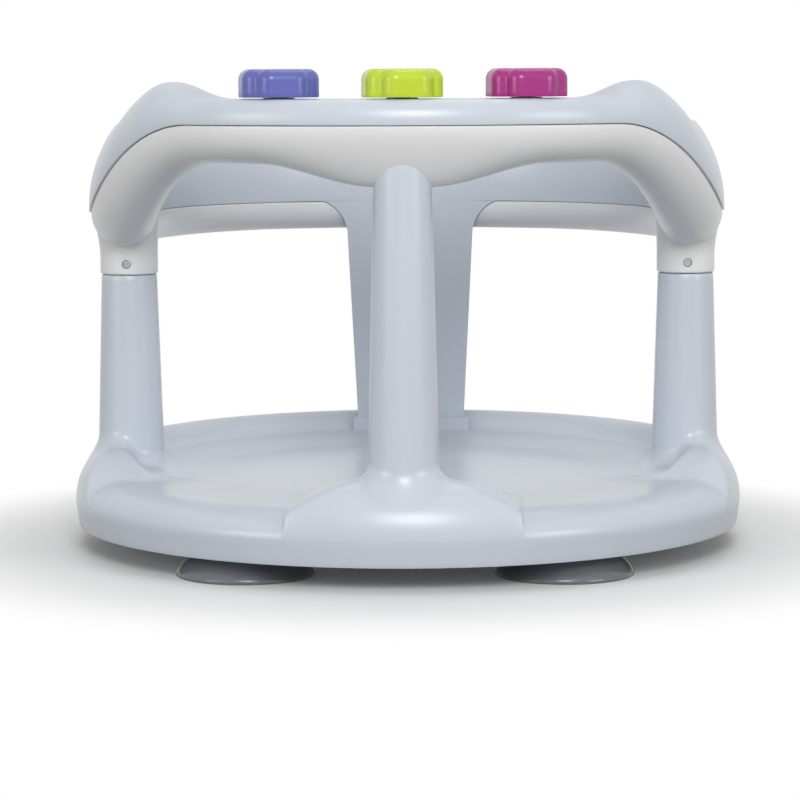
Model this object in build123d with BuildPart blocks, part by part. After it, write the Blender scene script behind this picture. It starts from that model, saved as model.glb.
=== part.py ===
from build123d import *
from math import atan2, cos, degrees, hypot, radians, sin
import os

# Baby bath ring. Millimetres, +Z up, front towards -Y, the suction cups stand on Z = 0.
# The origin is the middle of the round base, on the surface that the cups stand on.

# Walls and clearances
WALL = 2.6
PARTING_GAP = 0.3
SOCKET_CLEARANCE = 0.3
SCREW_CLEARANCE = 0.15
CUT_PAST = 1.0
SPIN_CLEARANCE = 0.1
RUNNING_GAP = 0.3

# Base moulding
BASE_RADIUS = 171.0
SKIRT_FOOT_Z = 12.0
SKIRT_TOP_Z = 24.0
SKIRT_DRAFT = 1.5
SHOULDER_WIDTH = 21.0
SEAT_Z = 37.0
RIM_RISE = 14.0
DISH_RADIUS = 112.0
MOUND_HALF_WIDTH = 56.0
MOUND_CROWN = 3.0
MOUND_SPREAD = 4.0
MOUND_FULLNESS = 0.77
RIB_FOOT_Z = 21.0
RIB_THICKNESS = 2.0

# Posts, which are one piece with the base
POST_RING_RADIUS = 143.0
POST_FOOT_RADIUS = 17.4
POST_TOP_RADIUS = 14.2
POST_FILLET = 8.0
FRONT_POST_TOP_RADIUS = 13.4
FRONT_POST_TOP_Z = 203.0
SPIGOT_RADIUS = 11.3
SPIGOT_HEIGHT = 12.0

# Ring, an upper and a lower shell that meet at a parting line
RING_OUTER_FRONT = 165.0
RING_OUTER_SIDE = 162.5
RING_INNER_FRONT = 119.0
RING_INNER_SIDE = 128.0
FRONT_PARTING_Z = 217.0
SIDE_PARTING_Z = 170.5
BACK_PARTING_Z = 166.5
RAMP_START = 38.0
RAMP_END = 86.0
LOWER_DEPTH = 17.5
FRONT_ARM_DEPTH = 18.5
FRONT_BULGE_DEPTH = 29.0
BULGE_START = 5.0
BULGE_END = 28.0
LOWER_KEEL_RADIUS = 144.5
UPPER_OVERHANG = 1.2
RING_STEP = 9

# Upper shell
TRAY_Z = 229.0
TRAY_EDGE = 6.0
WING_CREST_Z = 237.0
WALL_CREST_Z = 215.0
CREST_OUTER = 151.0
CREST_INNER = 143.0
CREST_SETTLE = 8.0
OUTER_BELLY = 0.8
INNER_BELLY = 0.4
WING_START = 33.0
WING_PEAK = 47.0
WING_END = 84.0

# Back leg, one piece with the upper shell
LEG_FOOT_WIDTH = 58.5
LEG_TOP_WIDTH = 69.0
LEG_FLARE = 20.0
LEG_INSET = 0.5
LEG_RISE = 1.5
LEG_FOOT_Z = 41.0
LEG_FOOT_INNER = 138.0
LEG_FOOT_OUTER = 160.0
LEG_SCREW_SPACING = 30.0

# Collars of the lower shell, on the side posts
COLLAR_RADIUS = 14.8
COLLAR_FOOT_Z = 138.5
COLLAR_SCREW_Z = 144.0
COLLAR_RECESS = 1.8
POST_SHOULDER_GAP = 0.3

# Spinning toys on the tray
TOY_RING_RADIUS = 143.0
TOY_ANGLE = 24.0
TOY_SPAN = 38.0
TOY_LOBE_WIDTH = 25.0
TOY_CORNER = 7.0
TOY_HEIGHT = 13.2
TOY_EDGE = 5.0
TOY_WALL = 2.2
TOY_LIFT = 0.8
TOY_TURN = 12.0
TOY_SHAFT_RADIUS = 4.0
TOY_BOSS_RADIUS = 7.5
TOY_WASHER_RADIUS = 7.0
TOY_WASHER_THICKNESS = 1.2

# Screws
SCREW_RADIUS = 1.25
SCREW_HEAD_RADIUS = 3.0
SCREW_HEAD_HEIGHT = 2.0
SCREW_LENGTH = 12.0
COLLAR_SCREW_LENGTH = 9.0
SMALL_HEAD_RADIUS = 2.1
SMALL_HEAD_HEIGHT = 1.2
SHELL_SCREW_ANGLES = (33.0, 115.0, 148.0)
SCREW_BOSS_RADIUS = 4.6
SCREW_FLOOR = 3.0

# Suction cups
CUP_RADIUS = 34.0
CUP_SPACING_X = 153.6
CUP_SPACING_Y = 222.0
CUP_HEIGHT = 14.5
CUP_LIP = 1.4
CUP_LIP_WIDTH = 3.0
CUP_STEP = 2.0
CUP_HOLLOW = 7.0
CUP_NECK_RADIUS = 4.3
CUP_HEAD_RADIUS = 6.2
CUP_HEAD_HEIGHT = 5.0
CUP_BOSS_RADIUS = 10.0
CUP_BOSS_FLOOR = 3.0

RIM_Z = SEAT_Z + RIM_RISE
SHOULDER_RADIUS = BASE_RADIUS - SHOULDER_WIDTH
LEG_ROOF_Z = BACK_PARTING_Z + LEG_RISE + 3 * WALL
SCREW_HOLE = SCREW_RADIUS + SCREW_CLEARANCE
HEAD_HOLE = SCREW_HEAD_RADIUS + SOCKET_CLEARANCE
SIDES = {"left": -1, "right": 1}
SIDE_POST_TOP_Z = COLLAR_FOOT_Z - POST_SHOULDER_GAP
SPIGOT_TOP_Z = SIDE_POST_TOP_Z + SPIGOT_HEIGHT
FRONT_SOCKET_Z = FRONT_POST_TOP_Z + SOCKET_CLEARANCE
SIDE_POSTS = [(-POST_RING_RADIUS, 0), (POST_RING_RADIUS, 0)]
FRONT_POST = (0, -POST_RING_RADIUS)
# Sections round one half of the ring, with one more past each end
STATIONS = range(-RING_STEP, 180 + 2 * RING_STEP, RING_STEP)


# Curves that the ring follows, by the angle round it from the front
def smooth(start, end, angle):
    """Ease from 0 to 1 while the angle goes from start to end."""
    share = min(max((angle - start) / (end - start), 0.0), 1.0)
    return share * share * (3 - 2 * share)


def mix(first, second, share):
    return first + (second - first) * share


def half_turn(angle):
    """The same place on the other half of the ring, for a section past its ends."""
    return 360 - angle if angle > 180 else abs(angle)


def parting_z(angle):
    side = mix(FRONT_PARTING_Z, SIDE_PARTING_Z, smooth(RAMP_START, RAMP_END, angle))
    return mix(side, BACK_PARTING_Z, smooth(90, 180, angle)) if angle > 90 else side


def outer_radius(angle):
    return mix(RING_OUTER_FRONT, RING_OUTER_SIDE, smooth(WING_START, 90, angle))


def inner_radius(angle):
    return mix(RING_INNER_FRONT, RING_INNER_SIDE, smooth(BULGE_END, 60, angle))


def lower_depth(angle):
    arm = mix(FRONT_BULGE_DEPTH, FRONT_ARM_DEPTH, smooth(BULGE_START, BULGE_END, angle))
    return mix(arm, LOWER_DEPTH, smooth(RAMP_START, 90, angle))


def crest_z(angle):
    wing = mix(TRAY_Z, WING_CREST_Z, smooth(WING_START, WING_PEAK, angle))
    return mix(wing, WALL_CREST_Z, smooth(WING_PEAK, WING_END, angle))


def crest_outer(angle):
    tray = RING_OUTER_FRONT + UPPER_OVERHANG - TRAY_EDGE
    return mix(tray, CREST_OUTER, smooth(WING_START, WING_PEAK + CREST_SETTLE, angle))


def crest_inner(angle):
    tray = RING_INNER_FRONT + TRAY_EDGE
    return mix(tray, CREST_INNER, smooth(WING_START, WING_PEAK + CREST_SETTLE, angle))


def ring_plane(angle):
    """The upright plane at an angle round the ring: local x points outwards, local y up."""
    turn = radians(angle)
    return Plane(origin=(0, 0, 0), x_dir=(sin(turn), -cos(turn), 0), z_dir=(-cos(turn), -sin(turn), 0))


def ring_point(radius, angle):
    turn = radians(angle)
    return (radius * sin(turn), -radius * cos(turn))


def boss_places(angle):
    """The two places, left and right, of a pair of screw bosses in the ring."""
    return [ring_point(LOWER_KEEL_RADIUS, angle), ring_point(LOWER_KEEL_RADIUS, -angle)]


# Forms that are used at full size, and again smaller by a wall for the hollow inside
def base_section(inset, crown_z):
    """Half of the base's section, out to its shoulder, with its rim at crown_z."""
    low = SKIRT_FOOT_Z - (CUT_PAST if inset else 0)
    side = BASE_RADIUS - inset
    seat = SEAT_Z - inset
    crown = crown_z - inset
    with BuildSketch(Plane.XZ) as section:
        with BuildLine():
            Polyline((0, seat), (0, low), (side - SKIRT_DRAFT, low), (side, SKIRT_TOP_Z))
            Bezier((side, SKIRT_TOP_Z), (side, mix(SKIRT_TOP_Z, crown, 0.6)),
                   (mix(SHOULDER_RADIUS, side, 0.5), crown), (SHOULDER_RADIUS, crown))
            Bezier((SHOULDER_RADIUS, crown), (SHOULDER_RADIUS - 12, crown),
                   (DISH_RADIUS + 24, seat + 3), (DISH_RADIUS, seat))
            Line((DISH_RADIUS, seat), (0, seat))
        make_face()
    return section.sketch


def leg_dip(inset):
    """What is missing from a full rim in front, either side of the front mound."""
    side = BASE_RADIUS - inset
    seat = SEAT_Z - inset
    above = RIM_Z + MOUND_CROWN + WALL
    reach = BASE_RADIUS + WALL
    flank = RIM_Z + MOUND_CROWN - inset
    wide = MOUND_HALF_WIDTH + MOUND_SPREAD
    foot = SKIRT_TOP_Z + WALL
    under = seat - CUT_PAST
    with BuildPart() as dip:
        with BuildSketch(Plane.XZ):
            with BuildLine():
                Polyline((0, seat), (0, above), (reach, above), (reach, SKIRT_TOP_Z), (side, SKIRT_TOP_Z))
                Bezier((side, SKIRT_TOP_Z), (side, mix(SKIRT_TOP_Z, seat, 0.6)),
                       (mix(SHOULDER_RADIUS, side, 0.5), seat), (SHOULDER_RADIUS, seat))
                Line((SHOULDER_RADIUS, seat), (0, seat))
            make_face()
        revolve(axis=Axis.Z)
        with BuildSketch(Plane.YZ):
            with BuildLine():
                Polyline((-reach, 0), (-reach, above), (0, above), (0, flank))
                ThreePointArc((0, flank), (-MOUND_HALF_WIDTH / 2, mix(seat, flank, MOUND_FULLNESS)), (-wide, foot))
                Polyline((-wide, foot), (-wide, 0), (-reach, 0))
            make_face()
        extrude(amount=reach, both=True, mode=Mode.INTERSECT)
        with BuildSketch(Plane.XZ):
            with BuildLine():
                ThreePointArc((-MOUND_HALF_WIDTH, under), (0, flank), (MOUND_HALF_WIDTH, under))
                Polyline((MOUND_HALF_WIDTH, under), (MOUND_HALF_WIDTH, 0), (-MOUND_HALF_WIDTH, 0),
                         (-MOUND_HALF_WIDTH, under))
            make_face()
        extrude(amount=reach, mode=Mode.SUBTRACT)
    return dip.part


def post_form(inset, top_radius, top_z):
    """A round tapered post, with its foot below the rim that it stands on."""
    low = SEAT_Z - 2 * WALL
    with BuildPart() as post:
        with BuildSketch(Plane.XZ):
            Polygon((0, low), (POST_FOOT_RADIUS - inset, low), (top_radius - inset, top_z - inset),
                    (0, top_z - inset), align=None)
        revolve(axis=Axis.Z)
    return post.part


def is_post_foot(edge):
    """Whether an edge is the line where a post meets the rim."""
    middle = edge.center()
    near = min(hypot(middle.X - x, middle.Y - y) for x, y in SIDE_POSTS + [FRONT_POST])
    box = edge.bounding_box()
    on_rim = box.min.Z > SEAT_Z - WALL and box.max.Z < RIM_Z + 3 * WALL
    return near < POST_FOOT_RADIUS + WALL and on_rim


def base_form(inset):
    """The base with its posts, smaller by inset all over."""
    with BuildPart() as form:
        with BuildSketch(Plane.XZ):
            add(base_section(inset, RIM_Z))
        revolve(axis=Axis.Z)
        add(leg_dip(inset), mode=Mode.SUBTRACT)
        with Locations(*SIDE_POSTS):
            add(post_form(inset, POST_TOP_RADIUS, SIDE_POST_TOP_Z))
        with Locations(FRONT_POST):
            add(post_form(inset, FRONT_POST_TOP_RADIUS, FRONT_POST_TOP_Z))
        if not inset:
            fillet([edge for edge in form.edges() if is_post_foot(edge)], POST_FILLET)
    return form.part


def lower_form(inset):
    """Half of the lower shell: round below, with its flat top on the parting line."""
    with BuildPart() as form:
        for station in STATIONS:
            angle = half_turn(station)
            top = parting_z(angle) + (WALL if inset else -PARTING_GAP / 2)
            outer, inner = outer_radius(angle) - inset, inner_radius(angle) + inset
            keel = parting_z(angle) - lower_depth(angle) + inset
            belly = mix(keel, parting_z(angle), 0.45)
            with BuildSketch(ring_plane(station)):
                with BuildLine():
                    Line((inner, top), (outer, top))
                    Bezier((outer, top), (outer, belly), (mix(LOWER_KEEL_RADIUS, outer, 0.55), keel),
                           (LOWER_KEEL_RADIUS, keel))
                    Bezier((LOWER_KEEL_RADIUS, keel), (mix(LOWER_KEEL_RADIUS, inner, 0.55), keel),
                           (inner, belly), (inner, top))
                make_face()
        loft()
        split(bisect_by=Plane.YZ, keep=Keep.TOP)
        mirror(about=Plane.YZ)
    return form.part


def upper_form(inset):
    """Half of the upper shell: tray in front, wings beside it and a wall round the back."""
    with BuildPart() as form:
        for station in STATIONS:
            angle = half_turn(station)
            foot = parting_z(angle) + (-WALL if inset else PARTING_GAP / 2)
            crest = crest_z(angle) - inset
            outer = outer_radius(angle) + UPPER_OVERHANG - inset
            inner = inner_radius(angle) + inset
            brow, lap = crest_outer(angle), crest_inner(angle)
            with BuildSketch(ring_plane(station)):
                with BuildLine():
                    Line((inner, foot), (outer, foot))
                    Bezier((outer, foot), (outer + OUTER_BELLY, mix(foot, crest, 0.55)),
                           (mix(brow, outer, 0.62), crest), (brow, crest))
                    Line((brow, crest), (lap, crest))
                    Bezier((lap, crest), (mix(lap, inner, 0.62), crest),
                           (inner - INNER_BELLY, mix(foot, crest, 0.55)), (inner, foot))
                make_face()
        loft()
        split(bisect_by=Plane.YZ, keep=Keep.TOP)
        mirror(about=Plane.YZ)
    return form.part


def leg_outline(inset, low):
    """The back leg seen from the front, flared at its top, as a block right through the ring."""
    foot, top = LEG_FOOT_WIDTH / 2 - inset, LEG_TOP_WIDTH / 2 - inset
    flare = LEG_FLARE + inset
    bend_z = BACK_PARTING_Z + LEG_RISE - LEG_FLARE
    roof = LEG_ROOF_Z
    half = radians(45)
    with BuildPart() as block:
        with BuildSketch(Plane.XZ.offset(-LEG_FOOT_INNER / 2)):
            with BuildLine():
                Polyline((0, low), (foot, low), (top, bend_z))
                ThreePointArc((top, bend_z), (top + flare * (1 - cos(half)), bend_z + flare * sin(half)),
                              (top + flare, bend_z + flare))
                Polyline((top + flare, bend_z + flare), (top + flare, roof), (0, roof))
                mirror(about=Plane.YZ)
            make_face()
        extrude(amount=-LEG_FOOT_OUTER)
    return block.part


def leg_form(inset, low):
    """The back leg: a curved panel that stands in the base and runs up into the ring."""
    joint_z = BACK_PARTING_Z + LEG_RISE
    face, back = LEG_FOOT_INNER + inset, LEG_FOOT_OUTER - inset
    inner = RING_INNER_SIDE + LEG_INSET + inset
    outer = RING_OUTER_SIDE + UPPER_OVERHANG - LEG_INSET - inset
    with BuildPart() as leg:
        with BuildSketch(Plane.XZ):
            with BuildLine():
                Polyline((outer, LEG_ROOF_Z), (inner, LEG_ROOF_Z), (inner, joint_z))
                Bezier((inner, joint_z), (inner, mix(joint_z, low, 0.4)), (face, mix(joint_z, low, 0.6)), (face, low))
                Line((face, low), (back, low))
                Bezier((back, low), (back, mix(joint_z, low, 0.6)), (outer, mix(joint_z, low, 0.4)), (outer, joint_z))
                Line((outer, joint_z), (outer, LEG_ROOF_Z))
            make_face()
        revolve(axis=Axis.Z)
        add(leg_outline(inset, low), mode=Mode.INTERSECT)
    return leg.part


def upright(radius, low, high, places):
    """Round bars from low to high at the given places."""
    with BuildPart() as bars:
        with BuildSketch(Plane.XY.offset(low)):
            with Locations(*places):
                Circle(radius)
        extrude(amount=high - low)
    return bars.part


def screw_form(head_radius, head_height, length):
    """A pan-head screw: its head's seat is at the origin and its shank points up."""
    with BuildPart() as screw:
        with BuildSketch():
            Circle(SCREW_RADIUS)
        extrude(amount=length)
        with BuildSketch():
            Circle(head_radius)
        extrude(amount=-head_height)
        fillet(screw.faces().sort_by(Axis.Z)[0].edges(), head_height / 3)
        with BuildSketch(Plane.XY.offset(-head_height)):
            Rectangle(head_radius * 1.1, head_radius * 0.28)
            Rectangle(head_radius * 0.28, head_radius * 1.1)
        extrude(amount=head_height / 2, mode=Mode.SUBTRACT)
    return screw.part


# Places
CUPS = {
    "front_left": (-CUP_SPACING_X / 2, -CUP_SPACING_Y / 2),
    "front_right": (CUP_SPACING_X / 2, -CUP_SPACING_Y / 2),
    "rear_left": (-CUP_SPACING_X / 2, CUP_SPACING_Y / 2),
    "rear_right": (CUP_SPACING_X / 2, CUP_SPACING_Y / 2),
}
CUP_RING_RADIUS = hypot(CUP_SPACING_X, CUP_SPACING_Y) / 2
CUP_TURN = degrees(atan2(CUP_SPACING_Y, CUP_SPACING_X))
CUP_BOSS_Z = CUP_HEIGHT + SOCKET_CLEARANCE
CUP_FLOOR_Z = CUP_BOSS_Z + CUP_BOSS_FLOOR
CUP_HEAD_HOLE = CUP_HEAD_RADIUS + 2 * SOCKET_CLEARANCE
CUP_PLACES = list(CUPS.values())
TOYS = {
    "left": ring_point(TOY_RING_RADIUS, -TOY_ANGLE),
    "centre": ring_point(TOY_RING_RADIUS, 0),
    "right": ring_point(TOY_RING_RADIUS, TOY_ANGLE),
}
LEG_MIDDLE = (LEG_FOOT_INNER + LEG_FOOT_OUTER) / 2
LEG_SCREWS = [(-LEG_SCREW_SPACING / 2, LEG_MIDDLE), (LEG_SCREW_SPACING / 2, LEG_MIDDLE)]
SOCKET_FLOOR_Z = LEG_FOOT_Z - SOCKET_CLEARANCE
COLLAR_SCREWS = [(x, COLLAR_SCREW_Z) for x, _ in SIDE_POSTS]
TOY_PLACES = list(TOYS.values())
TOY_FOOT_Z = TRAY_Z + TOY_LIFT


# Base with its three posts
def base_inside():
    """What stands inside the base: ribs, cup bosses and the back leg's socket."""
    with BuildPart() as inside:
        with BuildSketch(Plane.XY.offset(RIB_FOOT_Z)):
            Circle(CUP_RING_RADIUS + RIB_THICKNESS / 2)
            Circle(CUP_RING_RADIUS - RIB_THICKNESS / 2, mode=Mode.SUBTRACT)
            Circle(CUP_RING_RADIUS / 2 + RIB_THICKNESS / 2)
            Circle(CUP_RING_RADIUS / 2 - RIB_THICKNESS / 2, mode=Mode.SUBTRACT)
            Rectangle(2 * CUP_RING_RADIUS, RIB_THICKNESS, rotation=CUP_TURN)
            Rectangle(2 * CUP_RING_RADIUS, RIB_THICKNESS, rotation=-CUP_TURN)
        extrude(amount=RIM_Z - RIB_FOOT_Z)
        add(upright(CUP_BOSS_RADIUS, CUP_BOSS_Z, RIM_Z, CUP_PLACES))
        add(leg_form(-WALL - SOCKET_CLEARANCE, SOCKET_FLOOR_Z - WALL))
    return inside.part


with BuildPart() as base_hollow:
    add(base_form(WALL))
    add(base_inside(), mode=Mode.SUBTRACT)

with BuildPart() as base:
    add(base_form(0))
    add(base_hollow.part, mode=Mode.SUBTRACT)
    # Spigots that the collars sit on
    add(upright(SPIGOT_RADIUS, SIDE_POST_TOP_Z - WALL, SPIGOT_TOP_Z, SIDE_POSTS))
    # Bores for the cups' heads, with a floor that holds them
    add(upright(CUP_NECK_RADIUS + SCREW_CLEARANCE, CUP_BOSS_Z, RIB_FOOT_Z, CUP_PLACES), mode=Mode.SUBTRACT)
    add(upright(CUP_HEAD_HOLE, CUP_FLOOR_Z, SEAT_Z - WALL, CUP_PLACES), mode=Mode.SUBTRACT)
    # Socket and screw holes for the back leg
    add(leg_form(-SOCKET_CLEARANCE, SOCKET_FLOOR_Z), mode=Mode.SUBTRACT)
    add(upright(SCREW_HOLE, SKIRT_FOOT_Z, LEG_FOOT_Z, LEG_SCREWS), mode=Mode.SUBTRACT)
    # Pilot holes for the collar screws and the front post's screw
    with BuildSketch(Plane.XZ.offset(COLLAR_RADIUS)):
        with Locations(*COLLAR_SCREWS):
            Circle(SCREW_HOLE)
    extrude(amount=-COLLAR_RADIUS, mode=Mode.SUBTRACT)
    add(upright(SCREW_HOLE, FRONT_POST_TOP_Z - SCREW_LENGTH, FRONT_POST_TOP_Z, [FRONT_POST]), mode=Mode.SUBTRACT)



# Lower shell of the ring, with a collar for each side post
def lower_inside():
    """What stands inside the lower shell: its screw bosses and the front post's socket."""
    with BuildPart() as inside:
        for angle in SHELL_SCREW_ANGLES:
            boss_top = parting_z(angle) - PARTING_GAP / 2
            add(upright(SCREW_BOSS_RADIUS, COLLAR_FOOT_Z, boss_top, boss_places(angle)))
        add(upright(FRONT_POST_TOP_RADIUS + 2 * WALL, COLLAR_FOOT_Z, FRONT_SOCKET_Z + WALL, [FRONT_POST]))
    return inside.part


with BuildPart() as lower_hollow:
    add(lower_form(WALL))
    add(lower_inside(), mode=Mode.SUBTRACT)

with BuildPart() as lower_shell:
    add(lower_form(0))
    add(upright(COLLAR_RADIUS, COLLAR_FOOT_Z, SIDE_PARTING_Z - WALL, SIDE_POSTS))
    add(lower_hollow.part, mode=Mode.SUBTRACT)
    # Sockets for the posts
    spigot_roof = SPIGOT_TOP_Z + SOCKET_CLEARANCE
    add(upright(SPIGOT_RADIUS + SOCKET_CLEARANCE, COLLAR_FOOT_Z, spigot_roof, SIDE_POSTS), mode=Mode.SUBTRACT)
    with Locations(FRONT_POST):
        add(post_form(-SOCKET_CLEARANCE, FRONT_POST_TOP_RADIUS, FRONT_POST_TOP_Z), mode=Mode.SUBTRACT)
    # Room for the back leg
    add(leg_outline(-SOCKET_CLEARANCE, LEG_FOOT_Z), mode=Mode.SUBTRACT)
    # Screw holes
    add(upright(SCREW_HOLE, FRONT_POST_TOP_Z, FRONT_PARTING_Z, [FRONT_POST]), mode=Mode.SUBTRACT)
    for screw_angle in SHELL_SCREW_ANGLES:
        seat_z = parting_z(screw_angle) - SCREW_FLOOR
        places = boss_places(screw_angle)
        add(upright(SCREW_HOLE, seat_z - CUT_PAST, seat_z + 2 * SCREW_FLOOR, places), mode=Mode.SUBTRACT)
        add(upright(HEAD_HOLE, COLLAR_FOOT_Z, seat_z, places), mode=Mode.SUBTRACT)
    with BuildSketch(Plane.XZ.offset(COLLAR_RADIUS + CUT_PAST)):
        with Locations(*COLLAR_SCREWS):
            Circle(SMALL_HEAD_RADIUS + SCREW_CLEARANCE)
    extrude(amount=-COLLAR_RECESS - CUT_PAST, mode=Mode.SUBTRACT)
    with BuildSketch(Plane.XZ.offset(COLLAR_RADIUS)):
        with Locations(*COLLAR_SCREWS):
            Circle(SCREW_HOLE)
    extrude(amount=-COLLAR_RADIUS, mode=Mode.SUBTRACT)


# Upper shell of the ring, with the back leg
with BuildPart() as leg_skin:
    add(leg_form(0, LEG_FOOT_Z))
    add(leg_form(WALL, LEG_FOOT_Z + WALL), mode=Mode.SUBTRACT)

with BuildPart() as upper_hollow:
    add(upper_form(WALL))
    add(leg_skin.part, mode=Mode.SUBTRACT)
    for boss_angle in SHELL_SCREW_ANGLES:
        boss_foot = parting_z(boss_angle) + PARTING_GAP / 2
        add(upright(SCREW_BOSS_RADIUS, boss_foot, WING_CREST_Z, boss_places(boss_angle)), mode=Mode.SUBTRACT)

with BuildPart() as upper_shell:
    add(upper_form(0))
    add(leg_form(0, LEG_FOOT_Z))
    add(upright(TOY_BOSS_RADIUS, TRAY_Z - WALL, TOY_FOOT_Z - RUNNING_GAP, TOY_PLACES))
    add(upper_hollow.part, mode=Mode.SUBTRACT)
    add(leg_form(WALL, LEG_FOOT_Z + WALL), mode=Mode.SUBTRACT)
    add(upright(TOY_SHAFT_RADIUS + SPIN_CLEARANCE, TRAY_Z - WALL, TOY_FOOT_Z, TOY_PLACES), mode=Mode.SUBTRACT)
    for screw_angle in SHELL_SCREW_ANGLES:
        pilot_z = parting_z(screw_angle)
        pilot_top = pilot_z + SCREW_LENGTH - SCREW_FLOOR + CUT_PAST
        add(upright(SCREW_HOLE, pilot_z, pilot_top, boss_places(screw_angle)), mode=Mode.SUBTRACT)
    add(upright(SCREW_HOLE, LEG_FOOT_Z, LEG_FOOT_Z + WALL, LEG_SCREWS), mode=Mode.SUBTRACT)


# Spinning toys, each a hollow knob on a shaft with a washer and a screw below the tray
def toy_outline(inset):
    with BuildSketch(Plane.XY) as outline:
        long, wide = TOY_SPAN - 2 * inset, TOY_LOBE_WIDTH - 2 * inset
        for turn in (TOY_TURN, TOY_TURN + 90):
            RectangleRounded(long, wide, TOY_CORNER - inset, rotation=turn)
    return outline.sketch


def toy_knob():
    """A knob with its skirt's lower edge at Z = 0 and its axis on Z."""
    shaft_foot = -(TOY_LIFT + WALL + RUNNING_GAP)
    with BuildPart() as knob:
        with BuildSketch():
            add(toy_outline(0))
        extrude(amount=TOY_HEIGHT)
        fillet(knob.faces().sort_by(Axis.Z)[-1].edges(), TOY_EDGE)
        with BuildSketch():
            add(toy_outline(TOY_WALL))
        extrude(amount=TOY_HEIGHT - TOY_EDGE, mode=Mode.SUBTRACT)
        with BuildSketch():
            Circle(TOY_BOSS_RADIUS - RUNNING_GAP)
        extrude(amount=TOY_HEIGHT - TOY_EDGE)
        with BuildSketch(Plane.XY.offset(shaft_foot)):
            Circle(TOY_SHAFT_RADIUS)
        extrude(amount=TOY_HEIGHT - TOY_EDGE - shaft_foot)
        with BuildSketch(Plane.XY.offset(shaft_foot)):
            Circle(SCREW_HOLE)
        extrude(amount=SCREW_LENGTH, mode=Mode.SUBTRACT)
    return knob.part


def toy_washer():
    with BuildPart() as washer:
        with BuildSketch():
            Circle(TOY_WASHER_RADIUS)
            Circle(SCREW_HOLE, mode=Mode.SUBTRACT)
        extrude(amount=-TOY_WASHER_THICKNESS)
    return washer.part


TOY_WASHER_Z = TRAY_Z - WALL - RUNNING_GAP
toys = {}
for side, (toy_x, toy_y) in TOYS.items():
    with BuildPart() as toy:
        with Locations((toy_x, toy_y, TOY_FOOT_Z)):
            add(toy_knob())
    with BuildPart() as washer:
        with Locations((toy_x, toy_y, TOY_WASHER_Z)):
            add(toy_washer())
    with BuildPart() as toy_screw:
        with Locations((toy_x, toy_y, TOY_WASHER_Z - TOY_WASHER_THICKNESS)):
            add(screw_form(SCREW_HEAD_RADIUS, SCREW_HEAD_HEIGHT, SCREW_LENGTH))
    toys["toy_" + side] = toy.part
    toys["toy_washer_" + side] = washer.part
    toys["toy_screw_" + side] = toy_screw.part


# Suction cups
def suction_cup():
    """A soft cup with a neck and a head that the base's boss holds, lip on Z = 0."""
    shoulder = CUP_HEIGHT - CUP_STEP
    head_z = CUP_FLOOR_Z + SOCKET_CLEARANCE / 2
    head_top = head_z + CUP_HEAD_HEIGHT
    lip = CUP_RADIUS - CUP_LIP_WIDTH
    with BuildPart() as cup:
        with BuildSketch(Plane.XZ):
            with BuildLine():
                Bezier((0, CUP_HOLLOW), (CUP_RADIUS * 0.5, CUP_HOLLOW), (CUP_RADIUS * 0.8, CUP_LIP), (lip, 0))
                Polyline((lip, 0), (CUP_RADIUS, 0), (CUP_RADIUS, CUP_LIP))
                Bezier((CUP_RADIUS, CUP_LIP), (CUP_RADIUS * 0.93, CUP_HEIGHT / 2), (CUP_RADIUS * 0.7, shoulder),
                       (CUP_BOSS_RADIUS, shoulder))
                Polyline((CUP_BOSS_RADIUS, shoulder), (CUP_BOSS_RADIUS - CUP_STEP, CUP_HEIGHT),
                         (CUP_NECK_RADIUS, CUP_HEIGHT), (CUP_NECK_RADIUS, head_z), (CUP_HEAD_RADIUS, head_z),
                         (CUP_HEAD_RADIUS, mix(head_z, head_top, 0.4)), (CUP_NECK_RADIUS, head_top),
                         (0, head_top), (0, CUP_HOLLOW))
            make_face()
        revolve(axis=Axis.Z)
    return cup.part


cups = {}
for corner, place in CUPS.items():
    with BuildPart() as cup:
        with Locations(place):
            add(suction_cup())
    cups["suction_cup_" + corner] = cup.part


# Screws
collar_screws = {}
for side, sign in SIDES.items():
    seat = Plane((sign * POST_RING_RADIUS, COLLAR_RECESS - COLLAR_RADIUS, COLLAR_SCREW_Z), z_dir=(0, 1, 0))
    with BuildPart() as collar_screw:
        with Locations(seat):
            add(screw_form(SMALL_HEAD_RADIUS, SMALL_HEAD_HEIGHT, COLLAR_SCREW_LENGTH))
    collar_screws["collar_screw_" + side] = collar_screw.part

front_seat = Plane((0, -POST_RING_RADIUS, FRONT_SOCKET_Z + WALL), z_dir=(0, 0, -1))
with BuildPart() as front_post_screw:
    with Locations(front_seat):
        add(screw_form(SCREW_HEAD_RADIUS, SCREW_HEAD_HEIGHT, SCREW_LENGTH))

with BuildPart() as leg_screws:
    with Locations(*[(x, y, SOCKET_FLOOR_Z - WALL) for x, y in LEG_SCREWS]):
        add(screw_form(SCREW_HEAD_RADIUS, SCREW_HEAD_HEIGHT, SCREW_LENGTH))

with BuildPart() as shell_screws:
    for screw_angle in SHELL_SCREW_ANGLES:
        screw_seat_z = parting_z(screw_angle) - SCREW_FLOOR
        with Locations(*[(x, y, screw_seat_z) for x, y in boss_places(screw_angle)]):
            add(screw_form(SCREW_HEAD_RADIUS, SCREW_HEAD_HEIGHT, SCREW_LENGTH))


# One file for each piece
pieces = {
    "base": base.part,
    "lower_shell": lower_shell.part,
    "upper_shell": upper_shell.part,
    **toys,
    **cups,
    **collar_screws,
    "front_post_screw": front_post_screw.part,
    "leg_screws": leg_screws.part,
    "shell_screws": shell_screws.part,
}
os.makedirs("parts", exist_ok=True)
for name, piece in pieces.items():
    piece.label = name
    export_step(piece, f"parts/{name}.step")
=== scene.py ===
"""Dresses the baby bath ring: smooth mouldings, toys, suction cups, finishes, light and camera."""
import logging
import math
from dataclasses import dataclass, field
from enum import Enum

import bmesh
import bpy
import numpy as np
from mathutils import Matrix, Vector


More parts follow.
